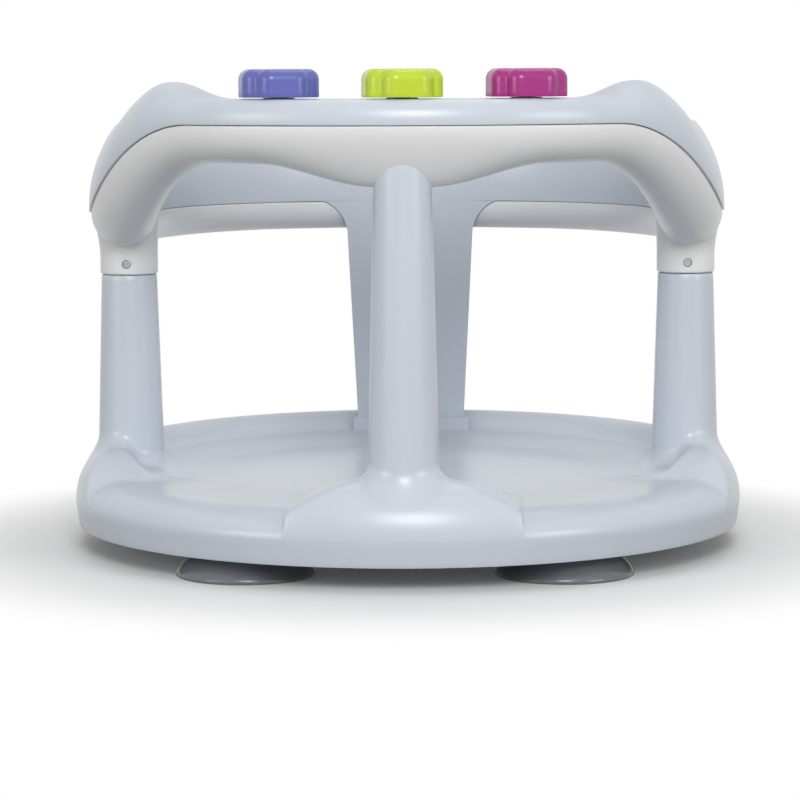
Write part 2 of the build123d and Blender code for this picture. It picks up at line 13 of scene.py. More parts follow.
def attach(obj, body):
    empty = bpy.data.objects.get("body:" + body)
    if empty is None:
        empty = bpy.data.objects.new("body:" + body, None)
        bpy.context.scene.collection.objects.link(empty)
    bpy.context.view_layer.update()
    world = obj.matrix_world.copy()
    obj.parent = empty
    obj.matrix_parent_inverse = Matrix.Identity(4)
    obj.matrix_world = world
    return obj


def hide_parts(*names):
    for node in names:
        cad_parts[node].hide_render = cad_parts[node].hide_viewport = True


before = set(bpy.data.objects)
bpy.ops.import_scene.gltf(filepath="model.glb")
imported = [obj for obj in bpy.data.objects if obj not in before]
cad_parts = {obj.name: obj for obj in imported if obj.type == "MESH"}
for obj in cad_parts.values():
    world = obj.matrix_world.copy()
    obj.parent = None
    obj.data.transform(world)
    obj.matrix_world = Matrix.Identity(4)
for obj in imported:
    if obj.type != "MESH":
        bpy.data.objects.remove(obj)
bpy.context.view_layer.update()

MM = 0.001
MERGE_WITHIN = 0.02
SLIVER = 0.005
ABOVE_ALL = 200.0
BODY = "stand"
log = logging.getLogger("bath_ring")

Point = tuple[float, float, float]
Colour = tuple[float, float, float]


# Small helpers for curves and meshes, in millimetres

def mix(first: float, second: float, share: float) -> float:
    """Return the value that is a share of the way from first to second."""
    return first + (second - first) * share


def mix_point(first: Point, second: Point, share: float) -> Point:
    """Return the point that is a share of the way from first to second."""
    return tuple(mix(a, b, share) for a, b in zip(first, second))


def full_turn(steps: int) -> np.ndarray:
    """Return equal steps of one turn, in radians, without its end."""
    return np.linspace(0, 2 * math.pi, steps, endpoint=False)


def smooth(start: float, end: float, value: float) -> float:
    """Ease from 0 to 1 while value goes from start to end."""
    share = min(max((value - start) / (end - start), 0.0), 1.0)
    return share * share * (3 - 2 * share)


def bezier(points: list[tuple[float, ...]], steps: int) -> list[tuple[float, ...]]:
    """Sample a cubic Bezier curve.

    Args:
        points: Its four control points.
        steps: How many equal steps of its parameter to take.

    Returns:
        steps + 1 points, both ends among them.
    """
    control = np.array(points, float)
    t = np.linspace(0, 1, steps + 1)[:, None]
    curve = ((1 - t) ** 3 * control[0] + 3 * (1 - t) ** 2 * t * control[1]
             + 3 * (1 - t) * t ** 2 * control[2] + t ** 3 * control[3])
    return [tuple(p) for p in curve]


def soft_max(first: np.ndarray, second: np.ndarray, radius: float) -> np.ndarray:
    """Return the larger of two heights, with the crease between them rounded over a radius."""
    gap = np.clip(radius - np.abs(first - second), 0, None)
    return np.maximum(first, second) + gap * gap / (4 * radius)


def soft_min(first: np.ndarray, second: np.ndarray, radius: float) -> np.ndarray:
    """Return the smaller of two heights, with the crease between them rounded over a radius."""
    return -soft_max(-first, -second, radius)


@dataclass
class Skin:
    """Vertices and faces of one surface under construction, in millimetres."""

    points: list[Point] = field(default_factory=list)
    faces: list[tuple[int, ...]] = field(default_factory=list)

    def grid(self, rows: list[list[Point]], closed: bool = False) -> None:
        """Add a grid of quads.

        Args:
            rows: Rows of points, all of one length.
            closed: Whether each row joins up with its own start.
        """
        first, width = len(self.points), len(rows[0])
        for row in rows:
            self.points.extend(tuple(p) for p in row)
        for r in range(len(rows) - 1):
            for c in range(width if closed else width - 1):
                a, b = first + r * width + c, first + r * width + (c + 1) % width
                self.faces.append((a, b, b + width, a + width))

    def lathe(self, profile: list[tuple[float, float]], centre: tuple[float, float], steps: int) -> None:
        """Turn a profile of (radius, height) points round an upright axis.

        Args:
            profile: The points, from one end to the other.
            centre: Where the axis stands.
            steps: How many columns go round.
        """
        turns = [2 * math.pi * i / steps for i in range(steps)]
        self.grid([[(centre[0] + r * math.cos(a), centre[1] + r * math.sin(a), z) for a in turns]
                   for r, z in profile], closed=True)

    def mesh(self, name: str, up: Vector | None = None) -> bpy.types.Mesh:
        """Merge the skin's seams and poles and return it as a mesh in metres.

        Args:
            name: The mesh's name.
            up: For an open skin, a direction that its highest face points to.

        Returns:
            The mesh, with its faces pointing outwards.
        """
        bm = bmesh.new()
        verts = [bm.verts.new(Vector(p) * MM) for p in self.points]
        for face in self.faces:
            try:
                bm.faces.new([verts[i] for i in face])
            except ValueError:
                continue
        bmesh.ops.remove_doubles(bm, verts=bm.verts, dist=MERGE_WITHIN * MM)
        bmesh.ops.dissolve_degenerate(bm, edges=bm.edges, dist=SLIVER * MM)
        bmesh.ops.recalc_face_normals(bm, faces=bm.faces)
        if up is not None:
            top = max(bm.faces, key=lambda f: f.calc_center_median().dot(up))
            if top.normal.dot(up) < 0:
                bmesh.ops.reverse_faces(bm, faces=bm.faces)
        mesh = bpy.data.meshes.new(name)
        bm.to_mesh(mesh)
        bm.free()
        return mesh

    def place(self, name: str, up: Vector | None = None) -> bpy.types.Object:
        """Make the skin's mesh and put it into the scene at the origin."""
        return new_object(name, self.mesh(name, up))


def new_object(name: str, mesh: bpy.types.Mesh) -> bpy.types.Object:
    """Link a mesh into the scene as an object at the origin."""
    obj = bpy.data.objects.new(name, mesh)
    bpy.context.scene.collection.objects.link(obj)
    return obj


def settle(obj: bpy.types.Object, crease: float = 32.0) -> bpy.types.Object:
    """Apply an object's modifiers and shade it smooth, with its creases kept.

    Args:
        obj: The object to finish.
        crease: The angle in degrees past which an edge stays sharp.

    Returns:
        The same object.
    """
    graph = bpy.context.evaluated_depsgraph_get()
    mesh = bpy.data.meshes.new_from_object(obj.evaluated_get(graph), depsgraph=graph)
    obj.modifiers.clear()
    obj.data = mesh
    mesh.shade_smooth()
    mesh.set_sharp_from_angle(angle=math.radians(crease))
    return obj


def shell(obj: bpy.types.Object, wall: float) -> None:
    """Give an open skin its wall, inwards."""
    solid = obj.modifiers.new("wall", "SOLIDIFY")
    solid.thickness = wall * MM
    solid.offset = -1
    solid.use_even_offset = True


def soften(obj: bpy.types.Object, width: float, angle: float = 40.0, segments: int = 3) -> None:
    """Round the edges of an object that are sharper than an angle."""
    bevel = obj.modifiers.new("edges", "BEVEL")
    bevel.width = width * MM
    bevel.segments = segments
    bevel.limit_method = "ANGLE"
    bevel.angle_limit = math.radians(angle)
    bevel.use_clamp_overlap = True


def join(name: str, objects: list[bpy.types.Object]) -> bpy.types.Object:
    """Make one object of several, each a closed shell.

    Args:
        name: The name of the result.
        objects: The objects to join, which are removed.

    Returns:
        The joined object.
    """
    bm = bmesh.new()
    for obj in objects:
        bm.from_mesh(obj.data)
    mesh = bpy.data.meshes.new(name)
    bm.to_mesh(mesh)
    bm.free()
    for obj in objects:
        bpy.data.objects.remove(obj)
    return new_object(name, mesh)


# Finishes

class Grain(Enum):
    """How a moulded surface was left by its mould."""

    POLISHED = 0.012
    SATIN = 0.045


class Paintbox:
    """A new material under construction, painted over the object's own coordinates."""

    def __init__(self, name: str) -> None:
        """Start the material with a plain shader."""
        self.material = bpy.data.materials.new(name)
        self.material.use_nodes = True
        self.nodes, self.links = self.material.node_tree.nodes, self.material.node_tree.links
        self.shader = self.nodes["Principled BSDF"]
        self.place = self.nodes.new("ShaderNodeTexCoord").outputs["Object"]

    def noise(self, scale: float, detail: float) -> bpy.types.NodeSocket:
        """Add noise over the object's coordinates and return its value."""
        node = self.nodes.new("ShaderNodeTexNoise")
        node.inputs["Scale"].default_value = scale
        node.inputs["Detail"].default_value = detail
        self.links.new(self.place, node.inputs["Vector"])
        return node.outputs["Fac"]

    def vary_roughness(self, value: bpy.types.NodeSocket, middle: float, wear: tuple[float, float]) -> None:
        """Let the roughness follow a value, from below its middle to above it."""
        level = self.nodes.new("ShaderNodeMapRange")
        level.inputs["To Min"].default_value = middle + wear[0]
        level.inputs["To Max"].default_value = middle + wear[1]
        self.links.new(value, level.inputs["Value"])
        self.links.new(level.outputs["Result"], self.shader.inputs["Roughness"])

    def set(self, **levels: float | tuple[float, ...]) -> None:
        """Set inputs of the shader, named with underscores for spaces."""
        for name, level in levels.items():
            self.shader.inputs[name.replace("_", " ")].default_value = level


@dataclass(frozen=True)
class MouldedPlastic:
    """An opaque plastic straight from its mould."""

    name: str
    colour: Colour
    roughness: float
    grain: Grain = Grain.SATIN
    depth: float = 0.0
    cloud: tuple[float, float] = (9.0, 3.0)
    cloud_tint: tuple[float, float] = (0.985, 1.012)
    wear: tuple[float, float] = (-0.03, 0.04)
    grain_noise: tuple[float, float] = (1600.0, 2.0)
    grain_height: float = 0.0002
    reach: float = 0.004

    def material(self) -> bpy.types.Material:
        """Build the finish as a procedural material."""
        box = Paintbox(self.name)
        cloud = box.noise(*self.cloud)
        tint = box.nodes.new("ShaderNodeMix")
        tint.data_type = "RGBA"
        for end, share in zip("AB", self.cloud_tint):
            tint.inputs[end].default_value = (*[min(c * share, 1.0) for c in self.colour], 1)
        bump = box.nodes.new("ShaderNodeBump")
        bump.inputs["Strength"].default_value = self.grain.value
        bump.inputs["Distance"].default_value = self.grain_height
        box.links.new(cloud, tint.inputs["Factor"])
        box.links.new(tint.outputs["Result"], box.shader.inputs["Base Color"])
        box.links.new(box.noise(*self.grain_noise), bump.inputs["Height"])
        box.links.new(bump.outputs["Normal"], box.shader.inputs["Normal"])
        box.vary_roughness(cloud, self.roughness, self.wear)
        box.set(IOR=1.49)
        if self.depth:
            box.set(Subsurface_Weight=self.depth, Subsurface_Radius=(self.reach,) * 3, Subsurface_Scale=1.0)
        return box.material


@dataclass(frozen=True)
class ClearRubber:
    """The soft grey see-through plastic of the suction cups."""

    name: str
    colour: Colour
    roughness: float
    clearness: float
    haze: tuple[float, float] = (60.0, 4.0)
    wear: tuple[float, float] = (-0.05, 0.08)

    def material(self) -> bpy.types.Material:
        """Build the finish as a procedural material."""
        box = Paintbox(self.name)
        box.vary_roughness(box.noise(*self.haze), self.roughness, self.wear)
        box.set(Base_Color=(*self.colour, 1), Transmission_Weight=self.clearness, IOR=1.5)
        return box.material


@dataclass(frozen=True)
class PlatedSteel:
    """The zinc-plated steel of the screws and washers, its grey partly the steel's own and partly painted
    shade for their recesses.
    """

    name: str
    colour: Colour
    roughness: float
    scratch: tuple[float, float] = (900.0, 2.0)
    wear: tuple[float, float] = (-0.08, 0.1)

    def material(self) -> bpy.types.Material:
        """Build the finish as a procedural material."""
        box = Paintbox(self.name)
        box.vary_roughness(box.noise(*self.scratch), self.roughness, self.wear)
        box.set(Base_Color=(*self.colour, 1), Metallic=1.0)
        return box.material


PALE_BLUE = MouldedPlastic("pale_blue_plastic", (0.565, 0.61, 0.675), 0.28, depth=0.04)
WHITE = MouldedPlastic("white_plastic", (0.80, 0.80, 0.80), 0.32, depth=0.04)
BLUE_TOY = MouldedPlastic("blue_toy", (0.11, 0.125, 0.42), 0.24, Grain.POLISHED)
GREEN_TOY = MouldedPlastic("green_toy", (0.50, 0.64, 0.025), 0.24, Grain.POLISHED)
MAGENTA_TOY = MouldedPlastic("magenta_toy", (0.36, 0.018, 0.20), 0.24, Grain.POLISHED)
CUP_RUBBER = ClearRubber("cup_rubber", (0.62, 0.64, 0.68), 0.20, 0.85)
# Plated steel's own grey, made darker as painted shade for the screws sunk in recesses.
SCREW_STEEL_AND_RECESS_SHADE = PlatedSteel("screw_steel", (0.36, 0.36, 0.37), 0.42)
FINISHES = (PALE_BLUE, WHITE, BLUE_TOY, GREEN_TOY, MAGENTA_TOY, CUP_RUBBER, SCREW_STEEL_AND_RECESS_SHADE)


# The ring

@dataclass(frozen=True)
class RingCurves:
    """Sizes of the ring by the angle round it from the front, in degrees and millimetres."""

    wall: float = 2.6
    parting_gap: float = 0.3
    outer_front: float = 165.0
    outer_side: float = 161.0
    inner_front: float = 119.0
    inner_side: float = 128.0
    front_parting: float = 217.0
    side_parting: float = 170.5
    back_parting: float = 169.8
    ramp: tuple[float, float] = (38.0, 86.0)
    side_depth: float = 17.5
    back_depth: float = 15.5
    arm_depth: float = 18.5
    bulge_depth: float = 29.0
    bulge: tuple[float, float] = (5.0, 28.0)
    keel_radius: float = 144.5
    overhang: float = 1.0
    tray_z: float = 229.0
    tray_edge: float = 6.0
    wing_crest: float = 237.0
    wall_crest: float = 216.0
    crest_radii: tuple[float, float] = (144.0, 146.5)
    wing: tuple[float, float, float] = (37.0, 49.8, 78.0)
    lap_ramp: tuple[float, float] = (31.0, 44.0)
    flank_ramp: tuple[float, float] = (38.0, 58.0)
    curve_steps: int = 20
    flat_steps: int = 8
    inner_lean: float = 0.4
    inner_rise: float = 0.55
    lap_reach: float = 0.62
    brow_reach: tuple[float, float] = (0.62, 0.12)
    flank_rise: tuple[float, float] = (0.55, 0.58)
    flank_belly: float = 0.8
    belly_rise: float = 0.45
    inner_keel: float = 0.55
    outer_keel: tuple[float, float] = (0.30, 0.55)
    outer_rise: tuple[float, float] = (0.72, 0.45)

    def parting_z(self, angle: float) -> float:
        """Height of the line between the two shells."""
        side = mix(self.front_parting, self.side_parting, smooth(*self.ramp, angle))
        return mix(side, self.back_parting, smooth(90, 180, angle)) if angle > 90 else side

    def outer_radius(self, angle: float) -> float:
        """Outside radius at the parting line."""
        return mix(self.outer_front, self.outer_side, smooth(self.wing[0], 90, angle))

    def inner_radius(self, angle: float) -> float:
        """Inside radius at the parting line."""
        return mix(self.inner_front, self.inner_side, smooth(self.bulge[1], 60, angle))

    def lower_depth(self, angle: float) -> float:
        """Depth of the lower shell."""
        arm = mix(self.bulge_depth, self.arm_depth, smooth(*self.bulge, angle))
        side = mix(arm, self.side_depth, smooth(self.ramp[0], 90, angle))
        return mix(side, self.back_depth, smooth(90, 150, angle))

    def crest_z(self, angle: float) -> float:
        """Height of the upper shell."""
        wing = mix(self.tray_z, self.wing_crest, smooth(self.wing[0], self.wing[1], angle))
        return mix(wing, self.wall_crest, smooth(self.wing[1], self.wing[2], angle))

    def crest_band(self, angle: float) -> tuple[float, float]:
        """Inner and outer radius of the upper shell's flat top."""
        share = smooth(*self.lap_ramp, angle)
        inner = mix(self.inner_front + self.tray_edge, self.crest_radii[0], share)
        outer = mix(self.outer_front + self.overhang - self.tray_edge, self.crest_radii[1], share)
        return inner, outer

    def upper_profile(self, angle: float) -> list[tuple[float, float]]:
        """Outline of the upper shell, from its inner lower edge over the top to its outer one."""
        foot, crest = self.parting_z(angle) + self.parting_gap / 2, self.crest_z(angle)
        outer, inner = self.outer_radius(angle) + self.overhang, self.inner_radius(angle)
        lap, brow = self.crest_band(angle)
        slant = smooth(*self.flank_ramp, angle)
        up = bezier([(inner, foot), (inner - self.inner_lean, mix(foot, crest, self.inner_rise)),
                     (mix(lap, inner, self.lap_reach), crest), (lap, crest)], self.curve_steps)
        flat = [(mix(lap, brow, i / self.flat_steps), crest) for i in range(1, self.flat_steps)]
        down = bezier([(brow, crest), (mix(brow, outer, mix(*self.brow_reach, slant)), crest),
                       (outer + self.flank_belly, mix(foot, crest, mix(*self.flank_rise, slant))),
                       (outer, foot)], self.curve_steps)
        return up + flat + down

    def lower_profile(self, angle: float) -> list[tuple[float, float]]:
        """Outline of the lower shell, from its inner upper edge round below to its outer one."""
        part = self.parting_z(angle)
        top, keel = part - self.parting_gap / 2, part - self.lower_depth(angle)
        belly = mix(keel, part, self.belly_rise)
        outer, inner = self.outer_radius(angle), self.inner_radius(angle)
        full = smooth(*self.bulge, angle)
        down = bezier([(inner, top), (inner, belly), (mix(self.keel_radius, inner, self.inner_keel), keel),
                       (self.keel_radius, keel)], self.curve_steps)
        up = bezier([(self.keel_radius, keel),
                     (mix(self.keel_radius, outer, mix(*self.outer_keel, full)), keel),
                     (outer, mix(keel, part, mix(*self.outer_rise, full))), (outer, top)], self.curve_steps)
        return down + up[1:]


def round_ring(radius: float, angle: float, height: float) -> Point:
    """A point of the ring: angle 0 is in front, and positive angles go to the right."""
    turn = math.radians(angle)
    return (radius * math.sin(turn), -radius * math.cos(turn), height)


@dataclass(frozen=True)
class LegOutline:
    """The back leg seen from the front: half its width by height."""

    foot_width: float = 58.5
    top_width: float = 69.0
    flare: float = 20.0
    foot_z: float = 41.0
    joint_z: float = 171.3
    face: float = 138.0
    back: float = 160.0
    bow: tuple[float, float] = (0.4, 0.6)
    flare_rows: int = 12
    shank_rows: int = 24
    samples: int = 60

    @property
    def bend_z(self) -> float:
        """Where the flare starts."""
        return self.joint_z - self.flare

    def half_width(self, height: float, grow: float = 0.0) -> float:
        """Half the leg's width at a height, made wider by grow."""
        if height <= self.bend_z:
            share = (height - self.foot_z) / (self.bend_z - self.foot_z)
            return mix(self.foot_width, self.top_width, max(share, 0)) / 2 + grow
        radius = self.flare - grow
        rise = min(height - self.bend_z, radius)
        return self.top_width / 2 + self.flare - math.sqrt(radius * radius - rise * rise)

    def rows(self, top: float) -> list[tuple[float, float]]:
        """Half width and height of each row of the leg's grid, from its top down."""
        last = math.asin((top - self.bend_z) / self.flare)
        rows = []
        for i in range(self.flare_rows):
            angle = last * (1 - i / self.flare_rows)
            rows.append((self.top_width / 2 + self.flare * (1 - math.cos(angle)),
                         self.bend_z + self.flare * math.sin(angle)))
        for i in range(self.shank_rows + 1):
            height = mix(self.bend_z, self.foot_z, i / self.shank_rows)
            rows.append((self.half_width(height), height))
        return rows

    def radius_at(self, height: float, top: float, foot: float) -> float:
        """Radius of one of the leg's faces, from top in the ring to foot in the base."""
        curve = bezier([(top, self.joint_z), (top, mix(self.joint_z, self.foot_z, self.bow[0])),
                        (foot, mix(self.joint_z, self.foot_z, self.bow[1])), (foot, self.foot_z)],
                       self.samples)
        heights = [z for _, z in curve][::-1]
        radii = [r for r, _ in curve][::-1]
        return float(np.interp(height, heights, radii))


@dataclass
class UpperShell:
    """The pale-blue upper shell: tray, wings, back wall and back leg in one moulding."""

    curves: RingCurves
    leg: LegOutline
    step: float = 1.5
    toy_boss: tuple[float, float] = (7.5, 0.5)
    edge: float = 0.8
    edge_angle: float = 50.0
    side_columns: int = 4

    def angles(self) -> list[float]:
        """Columns round the ring, with one exactly at each corner of the leg's top."""
        foot = self.curves.back_parting + self.curves.parting_gap / 2
        half = self.leg.half_width(foot)
        inner = self.curves.inner_side
        outer = self.curves.outer_side + self.curves.overhang
        corners = [180 - math.degrees(math.asin(half / r)) for r in (inner, outer)]
        regular = [i * self.step for i in range(int(180 / self.step) + 1)]
        kept = [a for a in regular if all(abs(a - c) > self.step / 3 for c in corners)]
        right = sorted(kept + corners)
        return [-a for a in reversed(right) if 0 < a < 180] + right

    def skin(self) -> Skin:
        """The outside of the ring's upper shell and of the leg, open below."""
        skin = Skin()
        angles = self.angles()
        rows = []
        for angle in angles:
            rows.append([round_ring(r, angle, z) for r, z in self.curves.upper_profile(abs(angle))])
        skin.grid(rows + rows[:1])
        foot = self.curves.back_parting + self.curves.parting_gap / 2
        outline = self.leg.rows(foot)
        half = outline[0][0]
        faces = {}
        outer = self.curves.outer_side + self.curves.overhang
        for top, bottom in ((self.curves.inner_side, self.leg.face), (outer, self.leg.back)):
            across = sorted(math.sin(math.radians(a)) * top for a in angles if abs(a) > 90)
            across = [x for x in across if abs(x) <= half + 0.01]
            face = []
            for width, height in outline:
                radius = self.leg.radius_at(height, top, bottom)
                xs = [x / half * width for x in across]
                face.append([(x, math.sqrt(radius * radius - x * x), height) for x in xs])
            faces[top] = face
            skin.grid(face)
        front, back = faces.values()
        shares = [i / self.side_columns for i in range(self.side_columns + 1)]
        for end in (0, -1):
            skin.grid([[mix_point(f[end], b[end], share) for share in shares] for f, b in zip(front, back)])
        skin.points.extend(front[-1] + back[-1][::-1])
        count = len(front[-1]) + len(back[-1])
        skin.faces.append(tuple(range(len(skin.points) - count, len(skin.points))))
        return skin

    def build(self, places: list[tuple[float, float]]) -> bpy.types.Object:
        """Build the shell with its walls and the low bosses under the toys."""
        obj = self.skin().place("upper_moulding_skin", Vector((0, 0, 1)))
        shell(obj, self.curves.wall)
        soften(obj, self.edge, self.edge_angle)
        settle(obj)
        radius, rise = self.toy_boss
        bosses = Skin()
        low, high = self.curves.tray_z - 1, self.curves.tray_z + rise
        for place in places:
            bosses.lathe([(0, low), (radius, low), (radius, high), (0, high)], place, 48)
        boss = settle(bosses.place("toy_bosses"))
        return settle(join("upper_moulding", [obj, boss]))


@dataclass
class LowerShell:
    """The white lower shell of the ring, open behind for the leg, with a collar on each side post."""

    curves: RingCurves
    leg: LegOutline
    clearance: float = 0.3
    step: float = 1.5
    bend: float = 146.0
    collar_radius: float = 14.8
    collar_foot: float = 138.5
    collar_top: float = 170.0
    flare_radius: float = 16.9
    flare_shift: float = 1.5
    post_ring: float = 143.0
    screw_z: float = 144.0
    recess: tuple[float, float] = (2.25, 1.8)
    edge: float = 0.6
    edge_angle: float = 50.0
    collar_edge: float = 1.2
    straight: float = 6.0
    flare_from: float = 9.0
    flare_past: float = 6.0
    columns: int = 96
    hole_columns: int = 40

    def column(self, angle: float) -> list[Point]:
        """One section, turned near the leg so that the shell's end follows the leg's flare."""
        side = 1 if angle >= 0 else -1
        points = []
        for radius, height in self.curves.lower_profile(min(abs(angle), 180)):
            turn = abs(angle)
            if turn > self.bend:
                end = 180 - math.degrees(math.asin(self.leg.half_width(height, self.clearance) / radius))
                turn = mix(self.bend, end, (turn - self.bend) / (180 - self.bend))
            points.append(round_ring(radius, side * turn, height))
        return points

    def build(self) -> bpy.types.Object:
        """Build the shell and its collars."""
        skin = Skin()
        count = int(180 / self.step)
        skin.grid([self.column(i * self.step) for i in range(-count, count + 1)])
        obj = skin.place("lower_moulding_skin", Vector((0, 0, -1)))
        shell(obj, self.curves.wall)
        soften(obj, self.edge, self.edge_angle)
        settle(obj)
        collars = [self.collar(side) for side in (-1, 1)]
        return settle(join("lower_moulding", [obj, *collars]))

    def collar(self, side: int) -> bpy.types.Object:
        """One collar, with its rounded lower edge and the recess for its screw."""
        low, radius, edge = self.collar_foot, self.collar_radius, self.collar_edge
        profile = [(0, low, 0)]
        for angle in np.linspace(0, math.pi / 2, 6):
            profile.append((radius - edge + edge * math.sin(angle), low + edge - edge * math.cos(angle), 0))
        for share in np.linspace(0, 1, 15):
            height = mix(low + self.straight, self.collar_top, share)
            spread = smooth(low + self.flare_from, self.collar_top + self.flare_past, height)
            wide = mix(radius, self.flare_radius, spread)
            profile.append((wide, height, mix(0, self.flare_shift, spread)))
        profile.append((0, self.collar_top, self.flare_shift))
        rows = [[(side * (self.post_ring + shift + r * math.cos(a)), r * math.sin(a), z)
                 for a in full_turn(self.columns)] for r, z, shift in profile]
        skin = Skin()
        skin.grid(rows, closed=True)
        obj = skin.place("collar_skin")
        hole_radius, depth = self.recess
        start, end = -radius - 3, depth - radius
        centre = side * self.post_ring
        rows = [[(centre + r * math.cos(a), y, self.screw_z + r * math.sin(a))
                 for a in full_turn(self.hole_columns)]
                for r, y in ((0, start), (hole_radius, start), (hole_radius, end), (0, end))]
        hole = Skin()
        hole.grid(rows, closed=True)
        cutter = hole.place("recess_cutter")
        cut = obj.modifiers.new("recess", "BOOLEAN")
        cut.object = cutter
        cut.operation = "DIFFERENCE"
        settle(obj)
        bpy.data.objects.remove(cutter)
        return obj


# The base

@dataclass
class SeatBase:
    """The round base: seat, rim, front mound and leg dips, with its three posts."""

    radius: float = 171.0
    skirt_foot: float = 12.0
    skirt_top: float = 24.0
    draft: float = 1.5
    shoulder: float = 150.0
    seat: float = 37.0
    rim: float = 51.0
    dish: float = 98.0
    seat_edge: tuple[float, float] = (137.0, 41.4)
    mound_half: float = 56.0
    mound_crown: float = 3.0
    mound_spread: float = 4.0
    mound_fullness: float = 0.77
    crease: float = 2.2
    wall: float = 2.6
    post_ring: float = 143.0
    post_foot: float = 17.4
    post_top: float = 14.2
    post_low: float = 31.8
    post_end: float = 138.2
    front_top: float = 13.4
    front_end: float = 203.0
    fillet: float = 8.0
    tuck: float = 0.06
    cup_place: tuple[float, float] = (76.8, 111.0)
    boss_foot: float = 14.8
    boss_radii: tuple[float, float, float] = (10.0, 6.8, 4.45)
    boss_floor: float = 3.0
    boss_ceiling: float = 2.0
    socket_gap: float = 0.3
    rib_foot: float = 21.0
    rib_width: float = 2.0
    rib_steps: int = 120
    dip_under: float = 1.0
    mound_toe: tuple[float, float] = (4.0, 30.0)
    rim_fullness: float = 0.6
    dish_easing: tuple[float, float, float] = (12.0, 12.0, 1.8)
    bank_easing: tuple[float, float, float] = (4.5, 2.2, 8.0)
    fine_turns: tuple[float, float, float] = (-122.0, -58.0, 0.4)
    coarse_turns: tuple[float, float, float] = (-58.0, 238.0, 1.0)
    edge: float = 0.7
    edge_angle: float = 60.0
    columns: int = 96
    post_edge: float = 0.8

    def low_line(self, x: np.ndarray, y: np.ndarray) -> np.ndarray:
        """Height that the dips leave standing in front: the mound, and the rim's falling ends."""
        flank = self.rim + self.mound_crown
        half = self.mound_half
        sag = flank - (self.seat - self.dip_under)
        bow = (half * half + sag * sag) / (2 * sag)
        inside = np.clip(bow * bow - x * x, 0, None)
        toe, drop = self.mound_toe
        beyond = np.clip((np.abs(x) - half + 1) / toe, 0, 1)
        mound = flank - bow + np.sqrt(inside) - drop * beyond * beyond * (3 - 2 * beyond)
        ends = self.arc_height(-y)
        return soft_max(mound, ends, self.crease)

    def arc_height(self, reach: np.ndarray) -> np.ndarray:
        """Height of the rim's falling end, by how far in front of the middle it is."""
        flank, foot = self.rim + self.mound_crown, self.skirt_top + self.wall
        wide = self.mound_half + self.mound_spread
        a = np.array([0, flank])
        b = np.array([self.mound_half / 2, mix(self.seat, flank, self.mound_fullness)])
        c = np.array([wide, foot])
        lhs = 2 * np.array([b - a, c - a])
        rhs = np.array([b @ b - a @ a, c @ c - a @ a])
        centre = np.linalg.solve(lhs, rhs)
        bow = float(np.hypot(*(a - centre)))
        inside = np.clip(bow * bow - (reach - centre[0]) ** 2, 0, None)
        height = centre[1] + np.sqrt(inside)
        return np.where(reach <= 0, ABOVE_ALL, np.where(reach > wide, 0.0, height))

    def rows(self) -> list[tuple[float, float, float]]:
        """Radius, full height and dipped height of each row of the top, from the middle out."""
        rows = [(r, self.seat, self.seat) for r in np.linspace(0, self.dish, 14)[:-1]]
        edge, rise = self.seat_edge
        start, end, sink = self.dish_easing
        slope = bezier([(self.dish, self.seat), (self.dish + start, self.seat), (edge - end, rise - sink),
                        (edge, rise)], 12)
        out, up, back = self.bank_easing
        bank = bezier([(edge, rise), (edge + out, rise + up), (self.shoulder - back, self.rim),
                       (self.shoulder, self.rim)], 14)
        rows += [(r, z, self.seat) for r, z in slope[:-1] + bank[:-1]]
        middle = mix(self.shoulder, self.radius, 0.5)
        full, dipped = [bezier([(self.shoulder, top), (middle, top),
                                (self.radius, mix(self.skirt_top, top, self.rim_fullness)),
                                (self.radius, self.skirt_top)], 30) for top in (self.rim, self.seat)]
        rows += [(r, high, low) for (r, high), (_, low) in zip(full, dipped)]
        return rows

    def height(self, x: np.ndarray, y: np.ndarray, full: np.ndarray, dipped: np.ndarray) -> np.ndarray:
        """Height of the top where the full rim and the dip are at the given heights."""
        left = soft_max(self.low_line(x, y), dipped, self.crease)
        return soft_min(full, left, self.crease)

    def height_at(self, x: float, y: float) -> float:
        """Height of the top at a place."""
        rows = self.rows()
        radius = math.hypot(x, y)
        radii = [r for r, _, _ in rows]
        full = np.interp(radius, radii, [f for _, f, _ in rows])
        dipped = np.interp(radius, radii, [d for _, _, d in rows])
        return float(self.height(np.array(x), np.array(y), full, dipped))

    def top(self) -> bpy.types.Object:
        """The seat, rim and skirt as one moulding with its wall, finest round the front mound."""
        turns = np.radians(np.concatenate([np.arange(*self.fine_turns), np.arange(*self.coarse_turns)]))
        cos, sin = np.cos(turns), np.sin(turns)
        rows = []
        for radius, full, dipped in self.rows():
            x, y = radius * cos, radius * sin
            z = self.height(x, y, np.full_like(x, full), np.full_like(x, dipped))
            rows.append(list(zip(x, y, z)))
        for i in range(1, 5):
            radius = mix(self.radius, self.radius - self.draft, i / 4)
            height = mix(self.skirt_top, self.skirt_foot, i / 4)
            rows.append([(radius * c, radius * s, height) for c, s in zip(cos, sin)])
        skin = Skin()
        skin.grid(rows, closed=True)
        obj = skin.place("base_skin", Vector((0, 0, 1)))
        shell(obj, self.wall)
        soften(obj, self.edge, self.edge_angle)
        return settle(obj)

    def post(self, centre: tuple[float, float], top_radius: float, end: float) -> bpy.types.Object:
        """One post, whose foot spreads onto the rim in a fillet that follows the rim's own slope."""

        def flank(height: float) -> float:
            """Radius of the tapered post at a height."""
            return mix(self.post_foot, top_radius, (height - self.post_low) / (end - self.post_low))

        def ground(radius: float) -> float:
            """Height of the base below the strand at a radius from the post's middle."""
            return self.height_at(*(np.array(centre) + out * radius))

